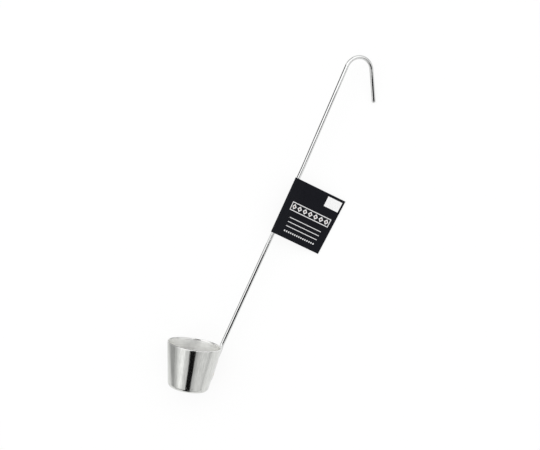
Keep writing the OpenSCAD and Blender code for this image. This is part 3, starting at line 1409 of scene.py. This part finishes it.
@dataclass(frozen=True)
class Studio:
    """White table under broad soft walls of light, with dark gaps that draw lines on the steel."""

    view: View
    left: Wall = Wall(0.54, 1.18, 0.60)
    right: Wall = Wall(0.50, 0.92, 0.35)
    sides_x: Span = (-0.25, 0.25)
    top: Wall = Wall(0.34, 1.28, 0.55)
    top_y: Span = (0.05, 0.45)
    overhead: float = 1.35
    overhead_z: Span = (0.93, 0.985)
    door: Doorway = Doorway(0.08, (0.75, 1.20), (0.14, 0.42), (-0.20, 0.24))
    shade: Wall = Wall(0.64, 0.76, 0.25)
    shade_x: Span = (0.10, 0.24)
    shade_y: Span = (-0.82, -0.60)
    gap: float = 0.006
    gap_x: Span = (-0.300, 0.115)
    gap_y: Span = (-0.84, -0.56)
    gap_soft: float = 0.02
    dusk: Span = (0.52, 0.42)
    dusk_y: Span = (-0.46, -0.58)
    dusk_reach: Span = (0.62, 0.40)
    table_half: float = 0.9
    table_glow: float = 0.86
    table_level: float = 0.87
    right_level: float = 0.72
    right_fade: Span = (-0.02, 0.20)
    left_level: float = 0.28
    left_lean: float = 0.43
    left_fade: Span = (-0.033, -0.080)
    lift_level: float = 0.60
    lift_lean: float = -0.484
    lift_fade: Span = (-0.050, -0.078)
    mouth_y: Span = (-0.076, -0.020)
    mouth_soft: float = 0.008
    lamp_at: tuple[float, float, float] = (-0.45, 0.35, 0.9)
    lamp_size: float = 0.6
    lamp_watts: float = 0.4
    cloths: tuple[Cloth, ...] = (
        Cloth("cloth_lower", (-0.497, 0.044, 1.18), (0.801, -0.486, 0.55), (0.033, 0.073)),
        Cloth("cloth_floor", (-0.035, -0.045, 0.001), (-0.114, -0.009, 0.011), (0.017, 0.038)),
        Cloth("cloth_upper", (-0.010, 0.087, 0.001), (-0.151, 0.151, 0.20), (0.027, 0.059)),
        Cloth("cloth_far", (0.077, 0.043, 0.15), (0.122, 0.022, 0.15), (0.017, 0.037)),
        Cloth("cloth_hook", (0.190, 0.044, 0.15), (0.190, -0.010, 0.15), (0.140, 0.0)),
        Cloth("cloth_tip", (0.0, 0.030, 0.15), (0.0, -0.010, 0.15), (0.050, 0.0)),
        Cloth("cloth_base", (-0.088, -0.25, 0.0), (-0.088, -0.25, 0.11), (0.031, 0.0)),
        Cloth("cloth_crown", (0.014, 0.215, 0.045), (0.014, 0.215, 0.075), (0.045, 0.022)),
    )

    def world(self) -> None:
        """Light from all round by direction: walls to the left, right and top that grow with height.

        Directions are measured to the right and to the top of the picture and up. A dark doorway stands
        low in the wall on the right. The dark gap lies between the walls, towards the lower edge of the
        picture, and the light falls off towards it. To its right the light is dimmer. The camera sees
        plain white.
        """
        made = bpy.data.worlds.new("studio")
        bpy.context.scene.world = made
        tree = Tree(made)
        way = tree.node("ShaderNodeTexCoord", output="Generated")
        right = way.dot(tuple(self.view.right))
        up = way.dot(tuple(self.view.up))
        high = way.dot(UPWARD)
        light = right.step(*self.sides_x).between(self.left.level(high), self.right.level(high))
        light = up.step(*self.top_y).between(light, self.top.level(high))
        light = high.step(*self.overhead_z).between(light, self.overhead)
        light = self.door.share(right, up, high).between(light, self.door.level)
        shaded = right.step(*self.shade_x) * up.inside(*self.shade_y, self.gap_soft)
        light = shaded.between(light, self.shade.level(high))
        start, end = self.gap_x
        from_left = right.step(start - self.dusk_reach[0], start) * self.dusk[0]
        from_right = right.step(end + self.dusk_reach[1], end) * self.dusk[1]
        light = light * (1.0 - from_left.least(from_right) * up.step(*self.dusk_y))
        dark = right.inside(start, end, self.gap_soft) * up.inside(*self.gap_y, self.gap_soft)
        light = dark.between(light, self.gap)
        seen = tree.node("ShaderNodeLightPath", output=Ray.CAMERA.value)
        inputs = {"Color": WHITE, "Strength": seen.between(light, 1.0)}
        tree.output(tree.node("ShaderNodeBackground", None, inputs), "ShaderNodeOutputWorld")

    def table(self) -> bpy.types.Object:
        """White table that glows for the rays that look at it and keeps part of its shade.

        For reflections the glow is lower. It falls off to the right, and more so to the left, where it
        is paler towards the lower edge of the picture and stays full before the cup's mouth.

        Returns:
            The table.
        """
        view, half = self.view, self.table_half
        table = Panel("table", view.on_table(0.0, 0.0, 0.0), view.right * half, view.up * half).build()
        made = bpy.data.materials.new("white_table")
        tree = Tree(made)
        camera, glossy, through = (tree.node("ShaderNodeLightPath", output=ray.value) for ray in Ray)
        looks = camera.most(glossy).most(through)

        # Painted light and shade: for reflections the table glows at a level set by its place, not by
        # lamps; it falls off to the right and is darker to the left.
        place = tree.place()
        level = place.dot(tuple(view.right)).step(*self.right_fade)
        level = level.between(self.table_level, self.right_level)
        lifted = place.dot(tuple(view.up + self.lift_lean * view.right)).step(*self.lift_fade)
        dim = lifted.between(self.left_level, self.lift_level)
        beyond = place.dot(tuple(unit(view.right - self.left_lean * view.up)))
        mouth = place.dot(tuple(view.up)).inside(*self.mouth_y, self.mouth_soft)
        level = (beyond.step(*self.left_fade) * (1.0 - mouth)).between(level, dim)

        matt = tree.node("ShaderNodeBsdfDiffuse", None, {"Color": WHITE})
        grey = glossy.blend(WHITE, tree.vector(level, level, level))
        glow = tree.node("ShaderNodeEmission", None, {"Color": grey})
        tree.output(tree.node("ShaderNodeMixShader", None, {0: looks * self.table_glow, 1: matt, 2: glow}))
        dress(table, made)
        return table

    def hang_cloths(self) -> list[bpy.types.Object]:
        """Hangs the dark cloths that draw the wire's dark lines.

        Returns:
            The cloths.
        """
        finish = DarkCloth().material()
        pieces = [cloth.panel(self.view).build() for cloth in self.cloths]
        for piece in pieces:
            dress(piece, finish)
            piece.visible_camera = False
            piece.visible_diffuse = False
            piece.visible_shadow = False
        return pieces

    def lamp(self) -> bpy.types.Object:
        """One broad soft lamp from the upper left, aimed at the model's origin, for the shade on the table.

        Returns:
            The lamp.
        """
        data = bpy.data.lights.new("soft_lamp", "AREA")
        data.shape = "DISK"
        data.size = self.lamp_size
        data.energy = self.lamp_watts
        lamp = add_object("soft_lamp", data)
        place = self.view.on_table(*self.lamp_at)
        back = unit(place)
        side = unit(np.cross(ALONG_Y, back))
        lamp.location = place
        lamp.rotation_euler = Axes(place, side, np.cross(back, side), back).turned()
        lamp.visible_glossy = False
        return lamp


def main() -> None:
    """Builds the studio, the ladle and its tag, and reports each piece."""
    logging.basicConfig(level=logging.INFO, format="%(name)s %(message)s")
    bpy.context.scene.view_settings.view_transform = "Standard"
    nodes = frame["nodes"]
    layout = Layout(frame["record"], nodes)

    view = View()
    view.build()
    studio = Studio(view)
    studio.world()
    studio.table()
    studio.hang_cloths()
    studio.lamp()

    cup = Cup(layout.cup)
    cup.build()
    handle = Handle(cup)
    handle.build()
    fused = WeldSteel().material()
    for name in ("weld_upper", "weld_lower"):
        keep(nodes[name], fused)
    HangTag(layout.tag, handle.wire_r).build()
    keep(nodes["tag_film"], AdhesiveFilm().material())


if __name__ == "__main__":
    main()
